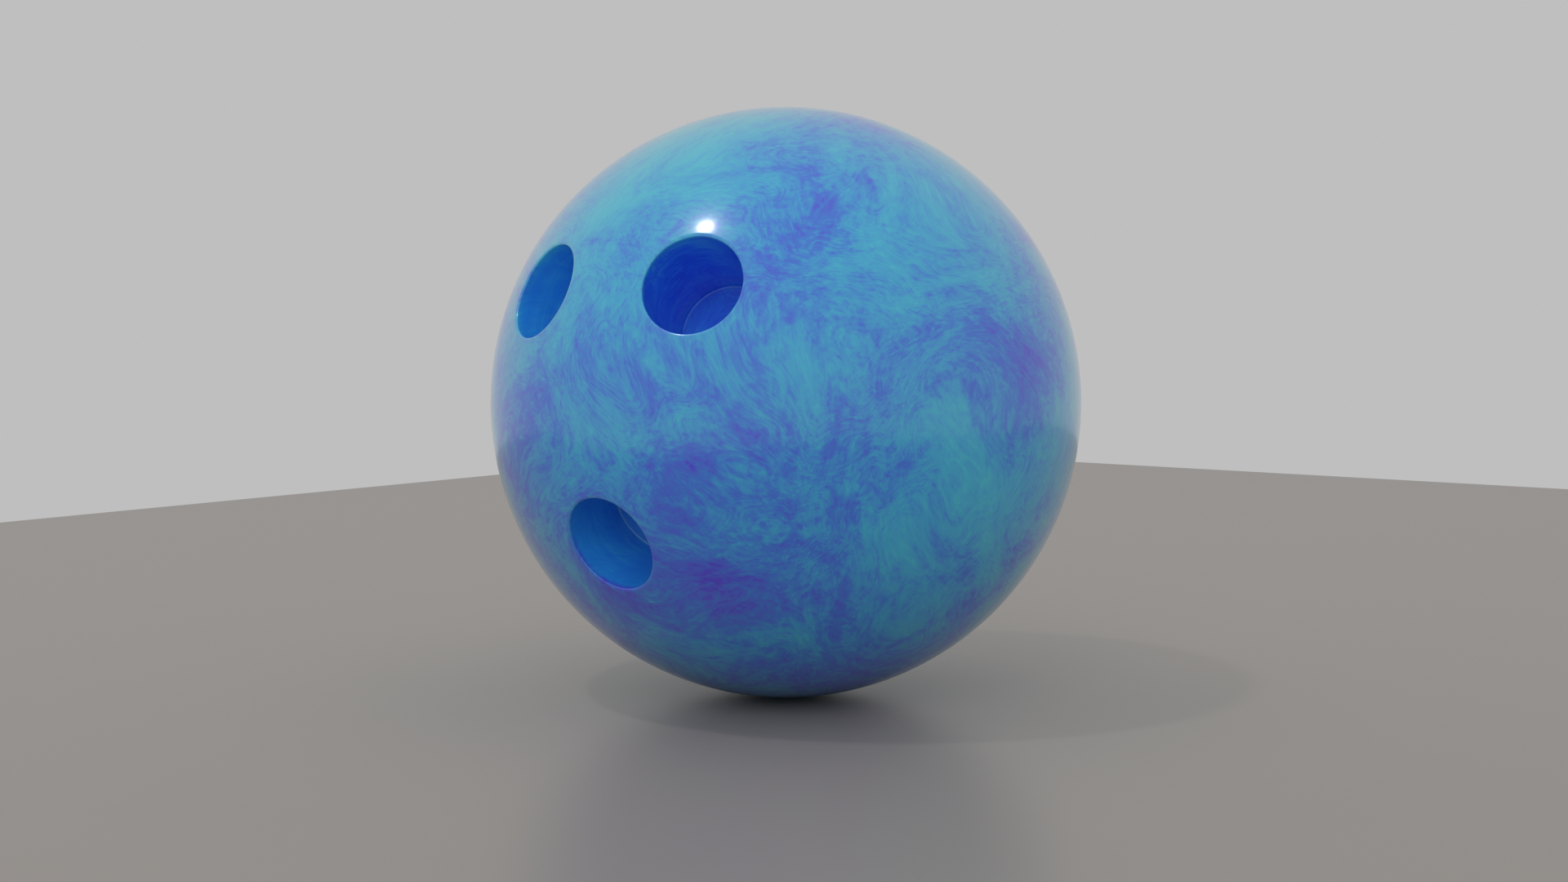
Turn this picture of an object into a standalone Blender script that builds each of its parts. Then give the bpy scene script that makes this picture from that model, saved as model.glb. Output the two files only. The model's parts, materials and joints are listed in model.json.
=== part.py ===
"""Bowling ball with two finger holes and a thumb hole, as the nested castings that it is poured from.

Metres, +Z up, origin at the ball's centre. The middle of the grip faces -Y with its finger holes above its thumb hole.
The two finger holes are equally far from the thumb hole. The ball lies with its grip rolled by about a degree, which
puts the left finger hole a little lower than the right one.
"""

import math

import bmesh
import bpy
from mathutils import Vector

# The ball
BALL_RADIUS = 0.1085  # 217 mm across: the rules of the sport allow 215.9 to 218.3 mm
CAVITY_RADIUS = 0.0615  # inside of the cover, a poured shell 47 mm thick
GAP = 0.0003  # between neighbouring castings

# The grip: three plain holes drilled towards the ball's centre
GRIP_HOLE_RADIUS = 0.0174
RIM_BEVEL = 0.0006
FLOOR_CHAMFER = 0.0006
LEFT_FINGER_AZIMUTH = -20.6  # degrees from -Y, growing towards +X
LEFT_FINGER_ELEVATION = 22.9
RIGHT_FINGER_AZIMUTH = 18.9
RIGHT_FINGER_ELEVATION = 24.1
THUMB_AZIMUTH = 0.0
THUMB_ELEVATION = -24.0
FINGER_FLOOR = 0.0673  # from the ball's centre to the floor of a finger hole
THUMB_FLOOR = 0.0814

# The pin that locates the cores in their moulds
PIN_AZIMUTH = -62.0
PIN_ELEVATION = 24.0
CORE_PIN_RADIUS = 0.0064
PIN_PLUG_RADIUS = 0.0058
PIN_SOCKET_DEPTH = 0.009  # how far the pin goes into the weight block
CORE_PIN_RECESS = 0.0012  # the dowel's flat end stays this far below the cover's cavity

# The weight block, a light bulb whose neck points at the pin; heights are along its axis from the ball's centre
BULB_RADIUS = 0.040
BULB_HEIGHT = -0.012
NECK_RADIUS = 0.024
NECK_BLEND_RADIUS = 0.014
NECK_TOP = 0.046
NECK_ROUNDING = 0.005

# Fineness of the round shapes
BALL_SEGMENTS = 64
CORE_SEGMENTS = 36
TURNED_STEPS = 40
ARC_STEP = 12.0  # degrees

CUT_CLEARANCE = 0.004  # how far a cutter runs past what it cuts
MERGE_DISTANCE = 0.00001


def clear_scene():
    for obj in list(bpy.data.objects):
        bpy.data.objects.remove(obj, do_unlink=True)


def new_collection(name):
    collection = bpy.data.collections.new(name)
    bpy.context.scene.collection.children.link(collection)
    return collection


def direction(azimuth, elevation):
    """The unit vector at these angles in degrees: azimuth 0 is -Y and grows towards +X."""
    az, el = math.radians(azimuth), math.radians(elevation)
    return Vector((math.sin(az) * math.cos(el), -math.cos(az) * math.cos(el), math.sin(el)))


def new_object(name, mesh, collection, facing=None):
    """The mesh as an object at the ball's centre, its own +Z turned to face a direction."""
    obj = bpy.data.objects.new(name, mesh)
    collection.objects.link(obj)
    if facing is not None:
        obj.rotation_euler = facing.to_track_quat("Z", "Y").to_euler()
    return obj


def as_cutter(obj):
    obj.hide_render = True
    obj.display_type = "WIRE"
    return obj


def sphere(name, radius, segments, collection):
    bm = bmesh.new()
    bmesh.ops.create_uvsphere(bm, u_segments=segments, v_segments=segments // 2, radius=radius)
    mesh = bpy.data.meshes.new(name)
    bm.to_mesh(mesh)
    bm.free()
    mesh.shade_smooth()
    return new_object(name, mesh, collection)


def turned(name, profile, collection, facing):
    """A solid of revolution. The profile's points are (radius, height), from the top of the axis to its bottom."""
    bm = bmesh.new()
    points = [bm.verts.new((radius, 0.0, height)) for radius, height in profile]
    for upper, lower in zip(points, points[1:]):
        bm.edges.new((upper, lower))
    mesh = bpy.data.meshes.new(name)
    bm.to_mesh(mesh)
    bm.free()
    obj = new_object(name, mesh, collection, facing)
    screw = obj.modifiers.new("turn", "SCREW")
    screw.steps = TURNED_STEPS
    screw.render_steps = TURNED_STEPS
    screw.use_merge_vertices = True
    screw.merge_threshold = MERGE_DISTANCE
    screw.use_smooth_shade = True
    return obj


def cut(obj, cutter):
    boolean = obj.modifiers.new(cutter.name, "BOOLEAN")
    boolean.operation = "DIFFERENCE"
    boolean.solver = "EXACT"
    boolean.object = cutter


def give_material(obj, colour, roughness):
    material = bpy.data.materials.new(obj.name)
    material.use_nodes = True
    shader = material.node_tree.nodes["Principled BSDF"]
    shader.inputs["Base Color"].default_value = (*colour, 1.0)
    shader.inputs["Roughness"].default_value = roughness
    shader.inputs["Metallic"].default_value = 0.0
    obj.data.materials.append(material)


def arc(centre_radius, centre_height, arc_radius, start, end):
    """Points (radius, height) on an arc, from one angle to another, in degrees above the outward direction."""
    steps = max(1, round(abs(end - start) / ARC_STEP))
    angles = [math.radians(start + (end - start) * i / steps) for i in range(steps + 1)]
    return [
        (centre_radius + arc_radius * math.cos(a), centre_height + arc_radius * math.sin(a)) for a in angles
    ]


def grip_hole_profile(floor):
    """A drilled hole: a bevel at the mouth, a straight wall and a flat floor with a small chamfer round it."""
    mouth = math.sqrt(BALL_RADIUS**2 - GRIP_HOLE_RADIUS**2)
    top = BALL_RADIUS + CUT_CLEARANCE
    return [
        (0.0, top),
        (GRIP_HOLE_RADIUS + RIM_BEVEL + top - mouth, top),
        (GRIP_HOLE_RADIUS, mouth - RIM_BEVEL),
        (GRIP_HOLE_RADIUS, floor + FLOOR_CHAMFER),
        (GRIP_HOLE_RADIUS - FLOOR_CHAMFER, floor),
        (0.0, floor),
    ]


def weight_block_profile(offset):
    """The light bulb's outline, grown outwards by an offset."""
    blend_centre_radius = NECK_RADIUS + NECK_BLEND_RADIUS
    reach = BULB_RADIUS + NECK_BLEND_RADIUS
    blend_centre_height = BULB_HEIGHT + math.sqrt(reach**2 - blend_centre_radius**2)
    tangent = math.degrees(math.acos(blend_centre_radius / reach))
    corner_radius = NECK_ROUNDING + offset
    corner = arc(NECK_RADIUS - NECK_ROUNDING, NECK_TOP - NECK_ROUNDING, corner_radius, 90.0, 0.0)
    blend = arc(blend_centre_radius, blend_centre_height, NECK_BLEND_RADIUS - offset, 180.0, 180.0 + tangent)
    bulb = arc(0.0, BULB_HEIGHT, BULB_RADIUS + offset, tangent, -90.0)
    bottom = (0.0, BULB_HEIGHT - BULB_RADIUS - offset)
    return [(0.0, NECK_TOP + offset)] + corner + blend + bulb[1:-1] + [bottom]


def cylinder_profile(radius, top, bottom):
    return [(0.0, top), (radius, top), (radius, bottom), (0.0, bottom)]


def pin_plug_profile():
    """A short cylinder whose outer end follows the ball's surface."""
    edge = math.degrees(math.acos(PIN_PLUG_RADIUS / BALL_RADIUS))
    dome = arc(0.0, 0.0, BALL_RADIUS, 90.0, edge)
    bottom = CAVITY_RADIUS + GAP
    return [(0.0, BALL_RADIUS)] + dome[1:] + [(PIN_PLUG_RADIUS, bottom), (0.0, bottom)]


def make_coverstock(parts, cutters):
    cover = sphere("coverstock", BALL_RADIUS, BALL_SEGMENTS, parts)
    cavity = as_cutter(sphere("cover_cavity", CAVITY_RADIUS, CORE_SEGMENTS, cutters))
    cut(cover, cavity)
    holes = (
        ("left_finger_hole", LEFT_FINGER_AZIMUTH, LEFT_FINGER_ELEVATION, FINGER_FLOOR),
        ("right_finger_hole", RIGHT_FINGER_AZIMUTH, RIGHT_FINGER_ELEVATION, FINGER_FLOOR),
        ("thumb_hole", THUMB_AZIMUTH, THUMB_ELEVATION, THUMB_FLOOR),
    )
    for name, azimuth, elevation, floor in holes:
        facing = direction(azimuth, elevation)
        cut(cover, as_cutter(turned(name, grip_hole_profile(floor), cutters, facing)))
    top = BALL_RADIUS + CUT_CLEARANCE
    bottom = CAVITY_RADIUS - CUT_CLEARANCE
    channel = cylinder_profile(PIN_PLUG_RADIUS + GAP, top, bottom)
    facing = direction(PIN_AZIMUTH, PIN_ELEVATION)
    cut(cover, as_cutter(turned("pin_plug_channel", channel, cutters, facing)))
    give_material(cover, (0.08, 0.28, 0.52), 0.12)


def make_outer_core(parts, cutters):
    core = sphere("outer_core", CAVITY_RADIUS - GAP, CORE_SEGMENTS, parts)
    facing = direction(PIN_AZIMUTH, PIN_ELEVATION)
    bulb = turned("weight_block_cavity", weight_block_profile(GAP), cutters, facing)
    cut(core, as_cutter(bulb))
    channel = cylinder_profile(CORE_PIN_RADIUS + GAP, CAVITY_RADIUS + CUT_CLEARANCE, NECK_TOP - CUT_CLEARANCE)
    cut(core, as_cutter(turned("core_pin_channel", channel, cutters, facing)))
    give_material(core, (0.62, 0.55, 0.42), 0.7)


def make_weight_block(parts, cutters):
    facing = direction(PIN_AZIMUTH, PIN_ELEVATION)
    block = turned("weight_block", weight_block_profile(0.0), parts, facing)
    socket = cylinder_profile(CORE_PIN_RADIUS + GAP, NECK_TOP + CUT_CLEARANCE, NECK_TOP - PIN_SOCKET_DEPTH)
    cut(block, as_cutter(turned("core_pin_socket", socket, cutters, facing)))
    give_material(block, (0.10, 0.14, 0.16), 0.55)


def make_pins(parts):
    facing = direction(PIN_AZIMUTH, PIN_ELEVATION)
    top = CAVITY_RADIUS - CORE_PIN_RECESS
    bottom = NECK_TOP - PIN_SOCKET_DEPTH + GAP
    core_pin = turned("core_pin", cylinder_profile(CORE_PIN_RADIUS, top, bottom), parts, facing)
    give_material(core_pin, (0.75, 0.73, 0.66), 0.5)
    pin_plug = turned("pin_plug", pin_plug_profile(), parts, facing)
    give_material(pin_plug, (0.86, 0.84, 0.74), 0.15)


def main():
    clear_scene()
    parts = new_collection("bowling_ball")
    cutters = new_collection("cutters")
    make_coverstock(parts, cutters)
    make_outer_core(parts, cutters)
    make_weight_block(parts, cutters)
    make_pins(parts)


main()
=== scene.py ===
"""The looks of a marbled bowling ball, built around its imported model.

Metres, +Z up, origin at the ball's centre, and the middle of the grip faces -Y. Each of the ball's five
castings is a fine mesh, built of spheres and turned surfaces, that stands for its CAD node.
"""

import json
import math

import bmesh
import bpy
from mathutils import Matrix, Vector


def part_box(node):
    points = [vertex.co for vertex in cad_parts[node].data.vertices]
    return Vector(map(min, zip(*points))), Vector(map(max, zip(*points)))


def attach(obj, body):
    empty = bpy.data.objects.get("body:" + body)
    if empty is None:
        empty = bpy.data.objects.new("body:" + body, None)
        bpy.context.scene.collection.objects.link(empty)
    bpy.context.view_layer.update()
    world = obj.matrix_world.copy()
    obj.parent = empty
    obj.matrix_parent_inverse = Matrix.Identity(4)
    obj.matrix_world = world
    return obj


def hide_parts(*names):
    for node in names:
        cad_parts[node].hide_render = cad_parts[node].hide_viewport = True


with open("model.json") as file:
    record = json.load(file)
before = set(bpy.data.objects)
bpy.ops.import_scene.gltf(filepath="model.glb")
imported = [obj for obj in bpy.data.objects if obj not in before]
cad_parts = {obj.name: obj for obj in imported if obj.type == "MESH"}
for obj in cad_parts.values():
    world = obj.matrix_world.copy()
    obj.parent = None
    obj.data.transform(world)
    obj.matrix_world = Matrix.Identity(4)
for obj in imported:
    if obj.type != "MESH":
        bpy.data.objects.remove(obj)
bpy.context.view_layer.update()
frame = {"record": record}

# Sizes that the frame gives
BALL_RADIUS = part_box("coverstock")[1].z
CORE_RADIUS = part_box("outer_core")[1].z
PIN_AXIS = sum(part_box("core_pin"), Vector()).normalized()
MOUNTS = {mount["name"]: mount for mount in frame["record"]["mounts"]}
GRIP_FLOORS = ("left_finger_floor", "right_finger_floor", "thumb_floor")

# The grip holes and their rims
GRIP_HOLE_RADIUS = 0.0174
FLOOR_FILLET = 0.0007
RIM_FILLET = 0.0006
SOFT_EDGE_WIDTH = 0.0009
SOFT_EDGE_SLOPE = math.radians(21.0)  # how far the surface has turned where the fillet starts
RIM_LEAN = SOFT_EDGE_SLOPE - math.asin(GRIP_HOLE_RADIUS / BALL_RADIUS)  # its slope there into the hole
SOFT_EDGE_INNER = GRIP_HOLE_RADIUS + RIM_FILLET * (1.0 - math.sin(RIM_LEAN))
SOFT_EDGE_OUTER = SOFT_EDGE_INNER + SOFT_EDGE_WIDTH

# The inner castings
CASTING_GAP = 0.0001
CORE_PIN_RADIUS = 0.0064
CORE_PIN_RECESS = 0.0009  # from the filler's surface down to the dowel's end
PIN_SOCKET_DEPTH = 0.009
PIN_PLUG_RADIUS = 0.0060
PIN_CHAMFER = 0.0004
BULB_RADIUS = 0.040
BULB_HEIGHT = -0.012
NECK_RADIUS = 0.024
NECK_BLEND_RADIUS = 0.014
NECK_TOP = 0.046
NECK_ROUNDING = 0.005

# Fineness of the surfaces
RING_POINTS = 192
COVER_SUBDIVISIONS = 7
CORE_SUBDIVISIONS = 6
ARC_STEP = 6.0  # degrees
SOFT_EDGE_STEPS = 10
WALL_ROW = 0.004
CHANNEL_ROWS = 8
DOME_RINGS = 8
FLOOR_RINGS = (0.98, 0.8, 0.6, 0.4, 0.2, 0.0)  # by their share of the flat floor's radius
OPENING_MARGIN = 0.6  # free of triangles round an opening, in steps between the sphere's vertices
SHARP_ANGLE = math.radians(35.0)
POINT_RADIUS = 1e-6  # a ring narrower than this is one vertex
SPHERE_TOLERANCE = 1e-5  # vertices this close to a sphere are on it
SHADED_TOLERANCE = 1e-6  # and this close take its normals

# The cover's colours, from its teal ground through blue to violet
MARBLE_COLOURS = (
    (0.0, (0.055, 0.60, 0.80)),
    (0.35, (0.042, 0.45, 0.82)),
    (0.65, (0.044, 0.22, 0.85)),
    (1.0, (0.090, 0.055, 0.84)),
)

# The drilled walls show a deeper blue, mottled from dark to light, and are painted paler the further they lie
# from one place on the ball: painted light, for the light that falls into the other holes
DRILLED_COLOURS = (
    (0.0, (0.016, 0.12, 0.92)),
    (0.5, (0.024, 0.24, 0.97)),
    (1.0, (0.055, 0.46, 0.95)),
)
# The place where the drilled walls get no painted light, and the colour of the painted light on the walls
# furthest from it
LEAST_PAINTED_LIGHT = (20, 24)  # azimuth and elevation in degrees
DRILLED_PAINTED_LIGHT = (0.04, 0.48, 0.92)
DRILLED_FROM = (0.976, 0.991, 1.0, 0.0)  # all of it nearer the centre than the first share of the radius

# Where the resins pooled: the azimuth and elevation of a cloud's middle in degrees, its reach in ball radii,
# and its weight, above zero for violet and below zero for teal
CLOUDS = (
    (50, 45, 0.30, 1.0),
    (15, 40, 0.20, 0.6),
    (32, 22, 0.16, 0.9),
    (85, 15, 0.35, 1.2),
    (-5, 8, 0.20, 1.0),
    (-30, -2, 0.25, 0.6),
    (45, -5, 0.18, 1.0),
    (12, -12, 0.25, 1.1),
    (25, -35, 0.30, 1.2),
    (-15, -35, 0.28, 1.0),
    (75, -35, 0.30, 0.8),
    (45, -65, 0.45, 0.9),
    (30, -45, 0.65, 0.5),
    (0, 60, 0.35, -0.9),
    (70, 40, 0.28, -0.9),
    (8, 18, 0.18, -0.9),
    (70, -10, 0.28, -1.0),
    (40, -45, 0.16, -0.7),
    (5, -1, 0.12, -0.6),
    (-20, 50, 0.30, -0.6),
    (180, 5, 0.80, 0.8),
    (-95, -20, 0.30, 0.9),
    (-85, 45, 0.28, 1.0),
    (-140, 20, 0.30, 0.9),
    (150, -30, 0.35, 0.8),
    (135, 35, 0.28, 1.0),
    (-160, -40, 0.28, -0.9),
    (110, -5, 0.25, -0.7),
)
CLOUD_EDGE = 1.8  # a cloud has faded out at this many times its reach

# The other castings' colours, each from its darker to its lighter parts
FILLER_COLOURS = ((0.0, (0.52, 0.44, 0.32)), (1.0, (0.70, 0.63, 0.50)))
FILLER_GRIT = (0.30, 0.25, 0.18, 1.0)
# The pinholes' dark colour is painted shade in these small recesses
FILLER_PINHOLE_SHADE = (0.22, 0.18, 0.13, 1.0)
DENSE_COLOURS = ((0.0, (0.055, 0.085, 0.10)), (1.0, (0.14, 0.19, 0.21)))
DENSE_FLECK = (0.42, 0.44, 0.42, 1.0)
DOWEL_COLOURS = ((0.0, (0.66, 0.63, 0.55)), (1.0, (0.79, 0.77, 0.70)))
DOWEL_LINE = (0.48, 0.46, 0.40, 1.0)
PLUG_COLOURS = ((0.0, (0.76, 0.72, 0.60)), (1.0, (0.88, 0.86, 0.77)))
PLUG_RING = (0.62, 0.57, 0.45, 1.0)

# The camera, by its place round the ball
CAMERA_AZIMUTH = 37.3  # degrees from -Y towards +X
CAMERA_ACROSS = -0.0007
CAMERA_BACK = 0.8061
CAMERA_HEIGHT = 0.0428
CAMERA_PITCH = 4.04  # degrees downwards
LENS = 50.0  # mm, on a sensor 36 mm wide
SENSOR_WIDTH = 36.0

# The stage
FLOOR_LOW = (-0.76, -0.47)
FLOOR_HIGH = (0.72, 1.01)
FLOOR_COLOUR = (0.37, 0.335, 0.305, 1.0)
SKY_COLOUR = (0.52, 0.52, 0.52, 1.0)


# ---- Surfaces ----------------------------------------------------------------------------------------------


def direction(azimuth, elevation):
    """The unit vector at these angles in degrees: azimuth 0 is -Y and grows towards +X."""
    az, el = math.radians(azimuth), math.radians(elevation)
    return Vector((math.sin(az) * math.cos(el), -math.cos(az) * math.cos(el), math.sin(el)))


def basis_of(facing):
    """A rotation that turns +Z to face a direction."""
    return Vector(facing).to_track_quat("Z", "Y").to_matrix()


def on_ball(radius):
    """The height of the ball's surface at a distance from an axis through its centre."""
    return math.sqrt(BALL_RADIUS**2 - radius**2)


def add_ring(bm, basis, radius, height):
    """A circle of vertices round an axis through the ball's centre, or one vertex where it is a point."""
    if radius < POINT_RADIUS:
        return [bm.verts.new(basis @ Vector((0.0, 0.0, height)))]
    ring = []
    for i in range(RING_POINTS):
        angle = math.tau * i / RING_POINTS
        point = Vector((radius * math.cos(angle), radius * math.sin(angle), height))
        ring.append(bm.verts.new(basis @ point))
    return ring


def join_rings(bm, first, second):
    """Faces between two rings, either of which may be a point."""
    for i in range(max(len(first), len(second))):
        corners = (
            first[i % len(first)],
            first[(i + 1) % len(first)],
            second[(i + 1) % len(second)],
            second[i % len(second)],
        )
        bm.faces.new(dict.fromkeys(corners))


def turn(bm, basis, profile, ring=None):
    """Carries a surface on from a ring through a profile's (radius, height) points. Returns its last ring."""
    for radius, height in profile:
        following = add_ring(bm, basis, radius, height)
        if ring:
            join_rings(bm, ring, following)
        ring = following
    return ring


def arc(centre_radius, centre_height, arc_radius, start, end):
    """Points (radius, height) on an arc between two angles, in degrees above the outward direction."""
    steps = max(2, round(abs(end - start) / ARC_STEP))
    angles = [math.radians(start + (end - start) * i / steps) for i in range(steps + 1)]
    return [
        (centre_radius + arc_radius * math.cos(a), centre_height + arc_radius * math.sin(a)) for a in angles
    ]


def stitch(bm, basis, ring, outline):
    """Joins a ring to the rougher outline round it with a band of triangles."""

    def bearing(vert):
        local = basis.transposed() @ vert.co
        return math.atan2(local.y, local.x) % math.tau

    outline = sorted(outline, key=bearing)
    bearings = [bearing(vert) for vert in outline[1:] + outline[:1]]
    bearings[-1] += math.tau
    inner, outer = 0, 0
    while inner < len(ring) or outer < len(outline):
        here, there = ring[inner % len(ring)], outline[outer % len(outline)]
        ahead = math.tau * (inner + 1) / len(ring)
        if outer == len(outline) or (inner < len(ring) and ahead <= bearings[outer]):
            inner += 1
            bm.faces.new((here, ring[inner % len(ring)], there))
        else:
            outer += 1
            bm.faces.new((here, outline[outer % len(outline)], there))


def open_sphere(bm, radius, openings):
    """Cuts round openings, each a (basis, radius) pair, in the sphere of a radius. Returns their rings."""
    sphere = [v for v in bm.verts if abs(v.co.length - radius) < SPHERE_TOLERANCE]
    spacing = math.sqrt(4.0 * math.pi / len(sphere))
    rings = []
    for basis, opening in openings:
        reach = math.asin(opening / radius) + OPENING_MARGIN * spacing
        inside = [v for v in sphere if v.is_valid and v.co.angle(basis.col[2]) < reach]
        round_about = {vert for v in inside for face in v.link_faces for vert in face.verts} - set(inside)
        strays = {edge for v in round_about for edge in v.link_edges}
        bmesh.ops.delete(bm, geom=inside, context="VERTS")
        for stray in (edge for edge in strays if edge.is_valid and not edge.link_faces):
            bm.edges.remove(stray)
        ring = add_ring(bm, basis, opening, math.sqrt(radius**2 - opening**2))
        stitch(bm, basis, ring, [v for v in round_about if v.link_faces])
        rings.append(ring)
    return rings


def finish_piece(name, bm, material, node):
    """The mesh as a smooth-shaded piece that stands for a CAD node."""
    bmesh.ops.recalc_face_normals(bm, faces=bm.faces)
    mesh = bpy.data.meshes.new(name)
    bm.to_mesh(mesh)
    bm.free()
    mesh.shade_smooth()
    mesh.set_sharp_from_angle(angle=SHARP_ANGLE)
    mesh.materials.append(material)
    obj = bpy.data.objects.new(name, mesh)
    bpy.context.scene.collection.objects.link(obj)
    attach(obj, "root")
    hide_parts(node)
    return obj


# ---- The pieces --------------------------------------------------------------------------------------------


def grip_hole_profile(floor):
    """A drilled and buffed hole, from where the ball's curve ends to the middle of the flat floor.

    The edge rolls off gently and turns down through a small fillet into the wall. The wall meets the floor in
    another fillet.
    """
    drop = 0.5 * math.tan(SOFT_EDGE_SLOPE) * SOFT_EDGE_WIDTH
    soft_edge = []
    for i in range(1, SOFT_EDGE_STEPS + 1):
        share = i / SOFT_EDGE_STEPS
        radius = SOFT_EDGE_INNER + SOFT_EDGE_WIDTH * (1.0 - share)
        soft_edge.append((radius, on_ball(radius) - drop * share**2))
    edge_height = soft_edge[-1][1]
    rim = arc(
        GRIP_HOLE_RADIUS + RIM_FILLET,
        edge_height - RIM_FILLET * math.cos(RIM_LEAN),
        RIM_FILLET,
        90.0 + math.degrees(RIM_LEAN),
        180.0,
    )
    top = rim[-1][1]
    bottom = floor + FLOOR_FILLET
    rows = round((top - bottom) / WALL_ROW)
    wall = [(GRIP_HOLE_RADIUS, top + (bottom - top) * i / rows) for i in range(1, rows)]
    flat_radius = GRIP_HOLE_RADIUS - FLOOR_FILLET
    corner = arc(flat_radius, bottom, FLOOR_FILLET, 0.0, -90.0)
    floor_rings = [(flat_radius * share, floor) for share in FLOOR_RINGS]
    return soft_edge + rim[1:] + wall + corner + floor_rings


def weight_block_profile(offset):
    """The light bulb's outline, grown outwards by an offset, from its flat top's edge to its lowest point."""
    blend_centre_radius = NECK_RADIUS + NECK_BLEND_RADIUS
    reach = BULB_RADIUS + NECK_BLEND_RADIUS
    blend_centre_height = BULB_HEIGHT + math.sqrt(reach**2 - blend_centre_radius**2)
    tangent = math.degrees(math.acos(blend_centre_radius / reach))
    corner_radius = NECK_ROUNDING + offset
    corner = arc(NECK_RADIUS - NECK_ROUNDING, NECK_TOP - NECK_ROUNDING, corner_radius, 90.0, 0.0)
    blend = arc(blend_centre_radius, blend_centre_height, NECK_BLEND_RADIUS - offset, 180.0, 180.0 + tangent)
    bulb = arc(0.0, BULB_HEIGHT, BULB_RADIUS + offset, tangent, -90.0)
    return corner + blend + bulb[1:-1] + [(0.0, BULB_HEIGHT - BULB_RADIUS - offset)]


def make_cover(material):
    """The thick outer shell, with its cavity, its three grip holes and the channel for the pin plug."""
    bm = bmesh.new()
    pin = basis_of(PIN_AXIS)
    grips = []
    for name in GRIP_FLOORS:
        grips.append((basis_of(MOUNTS[name]["axis"]), Vector(MOUNTS[name]["pos_m"]).length))
    channel_radius = PIN_PLUG_RADIUS + CASTING_GAP
    openings = [(basis, SOFT_EDGE_OUTER) for basis, _ in grips]
    openings.append((pin, channel_radius))
    cavity_radius = CORE_RADIUS + CASTING_GAP
    bmesh.ops.create_icosphere(bm, subdivisions=COVER_SUBDIVISIONS, radius=BALL_RADIUS)
    bmesh.ops.create_icosphere(bm, subdivisions=CORE_SUBDIVISIONS, radius=cavity_radius)
    rings = open_sphere(bm, BALL_RADIUS, openings)
    cavity_ring = open_sphere(bm, cavity_radius, [(pin, channel_radius)])[0]
    for (basis, floor), ring in zip(grips, rings):
        turn(bm, basis, grip_hole_profile(floor), ring)
    top, bottom = on_ball(channel_radius), math.sqrt(cavity_radius**2 - channel_radius**2)
    channel = [(channel_radius, top + (bottom - top) * i / CHANNEL_ROWS) for i in range(1, CHANNEL_ROWS)]
    join_rings(bm, turn(bm, pin, channel, rings[-1]), cavity_ring)
    cover = finish_piece("marbled_cover", bm, material, "coverstock")
    shade_as_sphere(cover.data)


def shade_as_sphere(mesh):
    """Gives the vertices on the ball's surface the sphere's own normals, and leaves the others alone."""
    normals = []
    for vertex in mesh.vertices:
        on_surface = abs(vertex.co.length - BALL_RADIUS) < SHADED_TOLERANCE
        normals.append(vertex.co.normalized() if on_surface else Vector())
    mesh.normals_split_custom_set_from_vertices(normals)


def make_outer_core(material):
    """The filler sphere, with the weight block's cavity and the channel that the dowel stands in."""
    bm = bmesh.new()
    pin = basis_of(PIN_AXIS)
    channel_radius = CORE_PIN_RADIUS + CASTING_GAP
    bmesh.ops.create_icosphere(bm, subdivisions=CORE_SUBDIVISIONS, radius=CORE_RADIUS)
    ring = open_sphere(bm, CORE_RADIUS, [(pin, channel_radius)])[0]
    cavity = [(channel_radius, NECK_TOP + CASTING_GAP)] + weight_block_profile(CASTING_GAP)
    turn(bm, pin, cavity, ring)
    finish_piece("filler_core", bm, material, "outer_core")


def make_weight_block(material):
    """The light bulb, with the dowel's socket in its flat top."""
    bm = bmesh.new()
    socket_radius = CORE_PIN_RADIUS + CASTING_GAP
    socket_floor = NECK_TOP - PIN_SOCKET_DEPTH
    socket = [
        (0.0, socket_floor),
        (socket_radius, socket_floor),
        (socket_radius, NECK_TOP - PIN_CHAMFER),
        (socket_radius + PIN_CHAMFER, NECK_TOP),
    ]
    turn(bm, basis_of(PIN_AXIS), socket + weight_block_profile(0.0))
    finish_piece("light_bulb_weight", bm, material, "weight_block")


def make_core_pin(material):
    """A dowel with chamfered ends."""
    bm = bmesh.new()
    top = CORE_RADIUS - CORE_PIN_RECESS
    bottom = NECK_TOP - PIN_SOCKET_DEPTH + CASTING_GAP
    profile = [
        (0.0, top),
        (CORE_PIN_RADIUS - PIN_CHAMFER, top),
        (CORE_PIN_RADIUS, top - PIN_CHAMFER),
        (CORE_PIN_RADIUS, bottom + PIN_CHAMFER),
        (CORE_PIN_RADIUS - PIN_CHAMFER, bottom),
        (0.0, bottom),
    ]
    turn(bm, basis_of(PIN_AXIS), profile)
    finish_piece("locating_dowel", bm, material, "core_pin")


def make_pin_plug(material):
    """A resin plug whose outer end is turned down flush with the ball."""
    bm = bmesh.new()
    bottom = CORE_RADIUS + 2.0 * CASTING_GAP
    radii = [PIN_PLUG_RADIUS * i / DOME_RINGS for i in range(DOME_RINGS + 1)]
    dome = [(radius, on_ball(radius)) for radius in radii]
    foot = [
        (PIN_PLUG_RADIUS, bottom + PIN_CHAMFER),
        (PIN_PLUG_RADIUS - PIN_CHAMFER, bottom),
        (0.0, bottom),
    ]
    turn(bm, basis_of(PIN_AXIS), dome + foot)
    finish_piece("pin_dot", bm, material, "pin_plug")


# ---- Materials ---------------------------------------------------------------------------------------------


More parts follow.
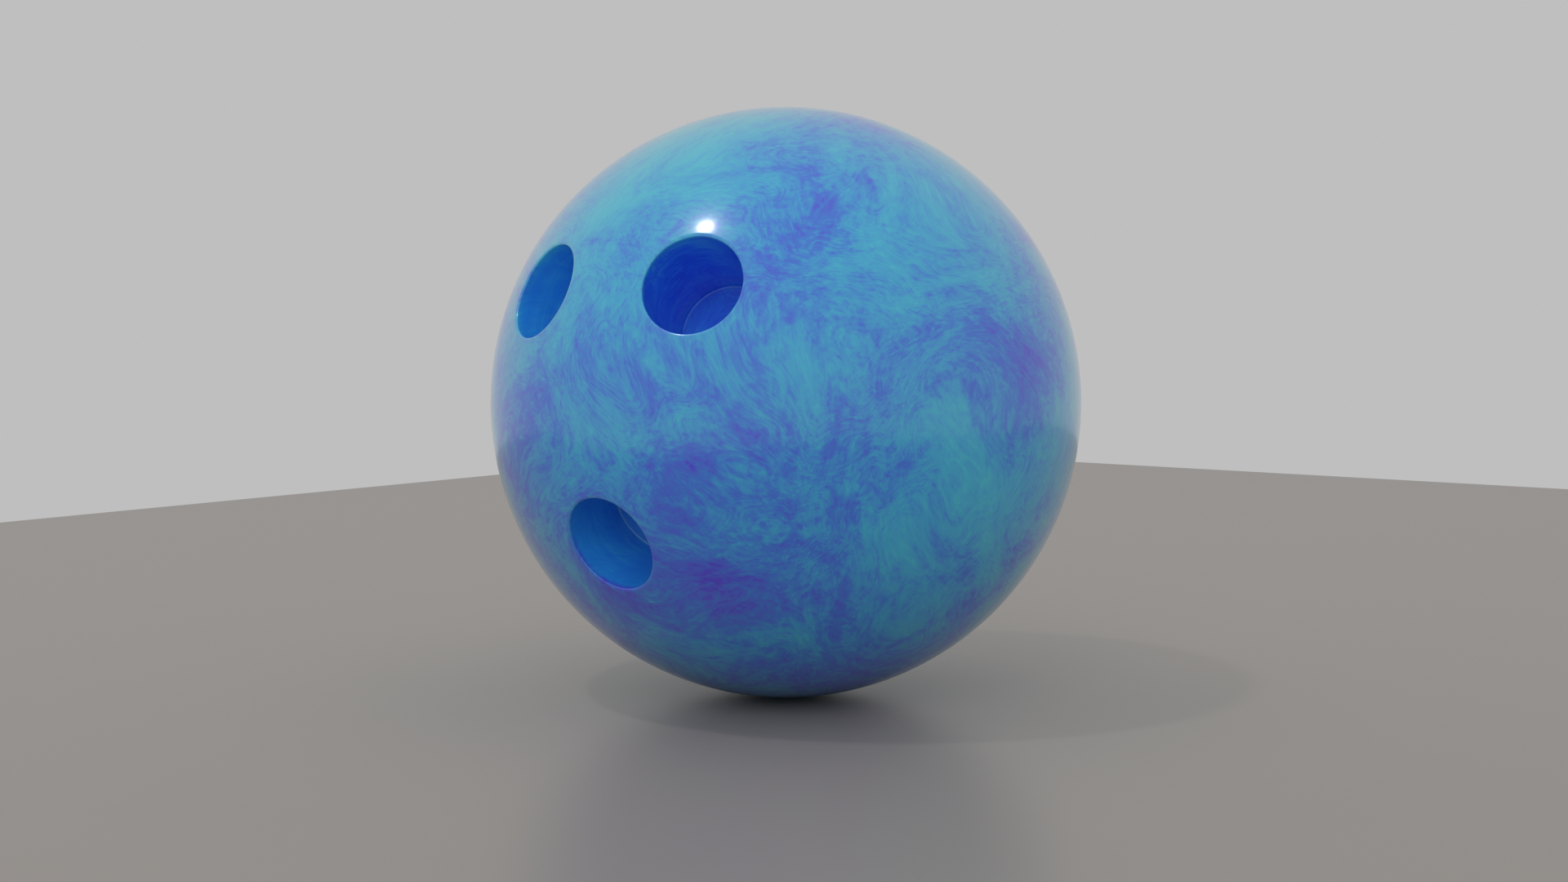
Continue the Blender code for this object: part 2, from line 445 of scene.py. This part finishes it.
class Finish:
    """A Principled material with short ways to add nodes to it, fed by numbers, vectors or other nodes."""

    def __init__(self, name):
        self.material = bpy.data.materials.new(name)
        self.material.use_nodes = True
        self.tree = self.material.node_tree
        self.tree.nodes.clear()
        self.shader = self.tree.nodes.new("ShaderNodeBsdfPrincipled")
        output = self.tree.nodes.new("ShaderNodeOutputMaterial")
        self.tree.links.new(self.shader.outputs["BSDF"], output.inputs["Surface"])

    def feed(self, socket, value):
        if isinstance(value, bpy.types.NodeSocket):
            self.tree.links.new(value, socket)
        else:
            socket.default_value = value

    def set(self, **inputs):
        for name, value in inputs.items():
            self.feed(self.shader.inputs[name.replace("_", " ")], value)

    def place(self):
        """The point in the ball, in ball radii from its centre."""
        coordinates = self.tree.nodes.new("ShaderNodeTexCoord")
        return self.scaled(coordinates.outputs["Object"], 1.0 / BALL_RADIUS)

    def scaled(self, vector, factor):
        node = self.tree.nodes.new("ShaderNodeVectorMath")
        node.operation = "SCALE"
        self.feed(node.inputs["Vector"], vector)
        self.feed(node.inputs["Scale"], factor)
        return node.outputs["Vector"]

    def vector(self, operation, *values):
        node = self.tree.nodes.new("ShaderNodeVectorMath")
        node.operation = operation
        for socket, value in zip(node.inputs, values):
            self.feed(socket, value)
        return node.outputs["Value" if operation in ("DOT_PRODUCT", "LENGTH", "DISTANCE") else "Vector"]

    def maths(self, operation, *values):
        node = self.tree.nodes.new("ShaderNodeMath")
        node.operation = operation
        for socket, value in zip(node.inputs, values):
            self.feed(socket, value)
        return node.outputs["Value"]

    def noise(self, where, scale, detail=2.0, roughness=0.5, along=None, distortion=0.0, output="Fac"):
        """Noise at a point, or at a point of four dimensions where along gives the fourth coordinate."""
        node = self.tree.nodes.new("ShaderNodeTexNoise")
        node.noise_dimensions = "3D" if along is None else "4D"
        self.feed(node.inputs["Vector"], where)
        if along is not None:
            self.feed(node.inputs["W"], along)
        values = {"Scale": scale, "Detail": detail, "Roughness": roughness, "Distortion": distortion}
        for name, value in values.items():
            self.feed(node.inputs[name], value)
        return node.outputs[output]

    def spread(self, value, low, high, new_low=0.0, new_high=1.0, smooth=False):
        """Maps a range of values onto another, held at its ends."""
        node = self.tree.nodes.new("ShaderNodeMapRange")
        node.interpolation_type = "SMOOTHSTEP" if smooth else "LINEAR"
        node.clamp = True
        for name, number in (
            ("Value", value),
            ("From Min", low),
            ("From Max", high),
            ("To Min", new_low),
            ("To Max", new_high),
        ):
            self.feed(node.inputs[name], number)
        return node.outputs["Result"]

    def bump(self, height, depth, strength):
        """Raises the surface by a height from 0 to 1 times a depth in metres."""
        node = self.tree.nodes.new("ShaderNodeBump")
        for name, value in (("Strength", strength), ("Distance", depth), ("Height", height)):
            self.feed(node.inputs[name], value)
        self.feed(self.shader.inputs["Normal"], node.outputs["Normal"])

    def blend(self, share, first, second):
        """One colour going over into another as the share goes from 0 to 1."""
        node = self.tree.nodes.new("ShaderNodeMix")
        node.data_type = "RGBA"
        sockets = (node.inputs["Factor"], node.inputs[6], node.inputs[7])
        for socket, value in zip(sockets, (share, first, second)):
            self.feed(socket, value)
        return node.outputs[2]

    def ramp(self, share, stops):
        """Colours by share, from (share, colour) stops."""
        node = self.tree.nodes.new("ShaderNodeValToRGB")
        elements = node.color_ramp.elements
        while len(elements) < len(stops):
            elements.new(0.5)
        for element, (position, colour) in zip(elements, stops):
            element.position = position
            element.color = (*colour, 1.0)
        self.feed(node.inputs["Fac"], share)
        return node.outputs["Color"]


def marbled_resin():
    """Teal and violet resins, stirred together as they were poured, under a polish."""
    finish = Finish("marbled_resin")
    place = finish.place()
    swirl = finish.vector("SUBTRACT", finish.noise(place, 1.4, detail=1.0, output="Color"), (0.5, 0.5, 0.5))
    stirred = finish.vector("ADD", place, finish.scaled(swirl, 0.7))
    current = finish.maths("MULTIPLY", finish.noise(stirred, 1.7, detail=2.5, roughness=0.45), 110.0)
    fibres = finish.noise(finish.scaled(stirred, 15.0), 1.0, detail=3.0, roughness=0.65, along=current)
    cloud = finish.noise(stirred, 2.8, detail=10.0, roughness=0.7, distortion=0.5)
    grain = finish.noise(stirred, 30.0, detail=4.0, roughness=0.7, distortion=1.0)
    pooled = 0.0
    for azimuth, elevation, reach, weight in CLOUDS:
        distance = finish.vector("DISTANCE", direction(azimuth, elevation), place)
        faded = finish.spread(distance, 0.0, CLOUD_EDGE * reach, weight, 0.0, smooth=True)
        pooled = finish.maths("ADD", faded, pooled)
    violet = finish.maths("MULTIPLY_ADD", pooled, 0.20, 0.36)
    for layer, strength in ((cloud, 1.8), (fibres, 0.8), (grain, 0.7)):
        violet = finish.maths("MULTIPLY_ADD", finish.maths("SUBTRACT", layer, 0.5), strength, violet)
    colour = finish.ramp(violet, MARBLE_COLOURS)
    out = finish.vector("LENGTH", place)
    rings = finish.maths("MULTIPLY", out, 60.0)
    drill_marks = finish.noise(place, 1.2, detail=3.0, roughness=0.6, along=rings)
    mottle = finish.maths("MULTIPLY_ADD", drill_marks, 0.35, finish.maths("MULTIPLY", cloud, 0.65))
    mottle = finish.maths("MULTIPLY_ADD", finish.maths("SUBTRACT", fibres, 0.5), 0.35, mottle)
    drilled = finish.ramp(finish.spread(mottle, 0.60, 0.38), DRILLED_COLOURS)
    # Painted light: the drilled walls turn paler the further they lie from one place, for the light that
    # falls into the other holes
    painted_light_distance = finish.vector("DISTANCE", place, direction(*LEAST_PAINTED_LIGHT))
    drilled = finish.blend(finish.spread(painted_light_distance, 0.3, 0.65, 0.0, 0.5), drilled, (*DRILLED_PAINTED_LIGHT, 1.0))
    colour = finish.blend(finish.spread(out, *DRILLED_FROM), colour, drilled)
    finish.set(Base_Color=colour, Roughness=0.30, Specular_IOR_Level=0.5)
    finish.set(Coat_Weight=1.0, Coat_Roughness=0.13, Coat_IOR=1.55)
    return finish.material


def filler_resin():
    """Cast filler: cream, with grit of two sizes and pinholes where air was trapped, darkened with painted
    shade.
    """
    finish = Finish("filler_resin")
    place = finish.place()
    cloud = finish.noise(place, 5.0, detail=5.0, roughness=0.6)
    grit = finish.noise(place, 90.0, detail=2.0, roughness=0.7)
    pinholes = finish.spread(finish.noise(place, 55.0, detail=1.0), 0.28, 0.34)
    colour = finish.ramp(finish.spread(cloud, 0.3, 0.7), FILLER_COLOURS)
    dark_grit = finish.spread(grit, 0.62, 0.70)
    colour = finish.blend(dark_grit, colour, FILLER_GRIT)
    # Painted shade: the pinholes are darkened
    colour = finish.blend(pinholes, FILLER_PINHOLE_SHADE, colour)
    finish.set(Base_Color=colour, Roughness=finish.spread(grit, 0.3, 0.7, 0.62, 0.82))
    finish.bump(finish.maths("MULTIPLY", pinholes, finish.spread(grit, 0.2, 0.8, 0.85, 1.0)), 0.0002, 0.6)
    return finish.material


def dense_resin():
    """Heavy filled resin: dark, with mineral flecks and the flow lines of the pour."""
    finish = Finish("dense_resin")
    place = finish.place()
    swirl = finish.maths("MULTIPLY", finish.noise(place, 3.0, detail=2.0), 4.0)
    flow = finish.noise(place, 8.0, detail=4.0, roughness=0.6, along=swirl)
    flecks = finish.spread(finish.noise(place, 120.0, detail=2.0, roughness=0.6), 0.63, 0.70)
    colour = finish.ramp(finish.spread(flow, 0.3, 0.7), DENSE_COLOURS)
    colour = finish.blend(flecks, colour, DENSE_FLECK)
    finish.set(Base_Color=colour, Roughness=finish.spread(flow, 0.3, 0.7, 0.42, 0.62))
    finish.bump(flow, 0.0002, 0.4)
    return finish.material


def along_pin(finish):
    """The distance along the pin's axis and the vector out from it, in ball radii."""
    place = finish.place()
    along = finish.vector("DOT_PRODUCT", place, PIN_AXIS)
    return along, finish.vector("SUBTRACT", place, finish.scaled(PIN_AXIS, along))


def dowel_plastic():
    """Extruded rod: off-white, with fine draw lines along it."""
    finish = Finish("dowel_plastic")
    along, out = along_pin(finish)
    stretched = finish.maths("MULTIPLY", along, 0.02)
    lines = finish.noise(out, 160.0, detail=2.0, roughness=0.7, along=stretched)
    cloud = finish.noise(out, 12.0, detail=3.0, along=along)
    colour = finish.ramp(finish.spread(cloud, 0.3, 0.7), DOWEL_COLOURS)
    colour = finish.blend(finish.spread(lines, 0.55, 0.75, 0.0, 0.35), colour, DOWEL_LINE)
    finish.set(Base_Color=colour, Roughness=finish.spread(lines, 0.3, 0.7, 0.42, 0.58))
    finish.bump(lines, 0.00008, 0.5)
    return finish.material


def plug_resin():
    """Ivory resin, turned down flush and polished with the ball, with faint rings of the turning in it."""
    finish = Finish("plug_resin")
    along, out = along_pin(finish)
    turning = finish.maths("MULTIPLY", finish.vector("LENGTH", out), 260.0)
    rings = finish.noise(finish.scaled(out, 6.0), 1.0, detail=2.0, along=turning)
    cloud = finish.noise(out, 45.0, detail=4.0, roughness=0.6, along=along)
    colour = finish.ramp(finish.spread(cloud, 0.3, 0.7), PLUG_COLOURS)
    colour = finish.blend(finish.spread(rings, 0.5, 0.8, 0.0, 0.3), colour, PLUG_RING)
    finish.set(Base_Color=colour, Roughness=finish.spread(rings, 0.3, 0.7, 0.12, 0.26))
    finish.set(Coat_Weight=0.6, Coat_Roughness=0.05)
    return finish.material


# ---- The stage ---------------------------------------------------------------------------------------------


def make_camera():
    camera = bpy.data.objects.new("camera", bpy.data.cameras.new("camera"))
    bpy.context.scene.collection.objects.link(camera)
    camera.data.lens = LENS
    camera.data.sensor_width = SENSOR_WIDTH
    heading = math.radians(CAMERA_AZIMUTH)
    camera.location = Matrix.Rotation(heading, 3, "Z") @ Vector((CAMERA_ACROSS, -CAMERA_BACK, CAMERA_HEIGHT))
    camera.rotation_euler = (math.radians(90.0 - CAMERA_PITCH), 0.0, heading)
    bpy.context.scene.camera = camera


def make_floor():
    """A square that the ball rests on, with its far corner behind the ball."""
    bm = bmesh.new()
    (west, south), (east, north) = FLOOR_LOW, FLOOR_HIGH
    corners = [(west, south), (east, south), (east, north), (west, north)]
    bm.faces.new([bm.verts.new((x, y, -BALL_RADIUS)) for x, y in corners])
    mesh = bpy.data.meshes.new("floor")
    bm.to_mesh(mesh)
    bm.free()
    finish = Finish("floor")
    finish.set(Base_Color=FLOOR_COLOUR, Roughness=0.3, Specular_IOR_Level=0.25)
    mesh.materials.append(finish.material)
    floor = bpy.data.objects.new("floor", mesh)
    bpy.context.scene.collection.objects.link(floor)


def make_lamp(name, azimuth, elevation, distance, size, power):
    """A round lamp that faces the ball's centre, with its size in metres and its power in watts."""
    light = bpy.data.lights.new(name, "AREA")
    light.shape = "DISK"
    light.size = size
    light.energy = power
    lamp = bpy.data.objects.new(name, light)
    bpy.context.scene.collection.objects.link(lamp)
    towards = direction(azimuth, elevation)
    lamp.location = towards * distance
    lamp.rotation_euler = towards.to_track_quat("Z", "Y").to_euler()
    return lamp


def make_surroundings():
    """A bright small key lamp, a broad soft fill that no surface mirrors, and an even grey all round."""
    make_lamp("key", azimuth=-24.0, elevation=62.8, distance=1.6, size=0.09, power=2.4)
    fill = make_lamp("fill", azimuth=30.0, elevation=30.0, distance=2.5, size=1.5, power=8.5)
    fill.visible_glossy = False
    world = bpy.data.worlds.new("studio")
    world.use_nodes = True
    world.node_tree.nodes["Background"].inputs["Color"].default_value = SKY_COLOUR
    bpy.context.scene.world = world
    bpy.context.scene.view_settings.view_transform = "Standard"


def main():
    make_cover(marbled_resin())
    make_outer_core(filler_resin())
    make_weight_block(dense_resin())
    make_core_pin(dowel_plastic())
    make_pin_plug(plug_resin())
    make_camera()
    make_floor()
    make_surroundings()


main()
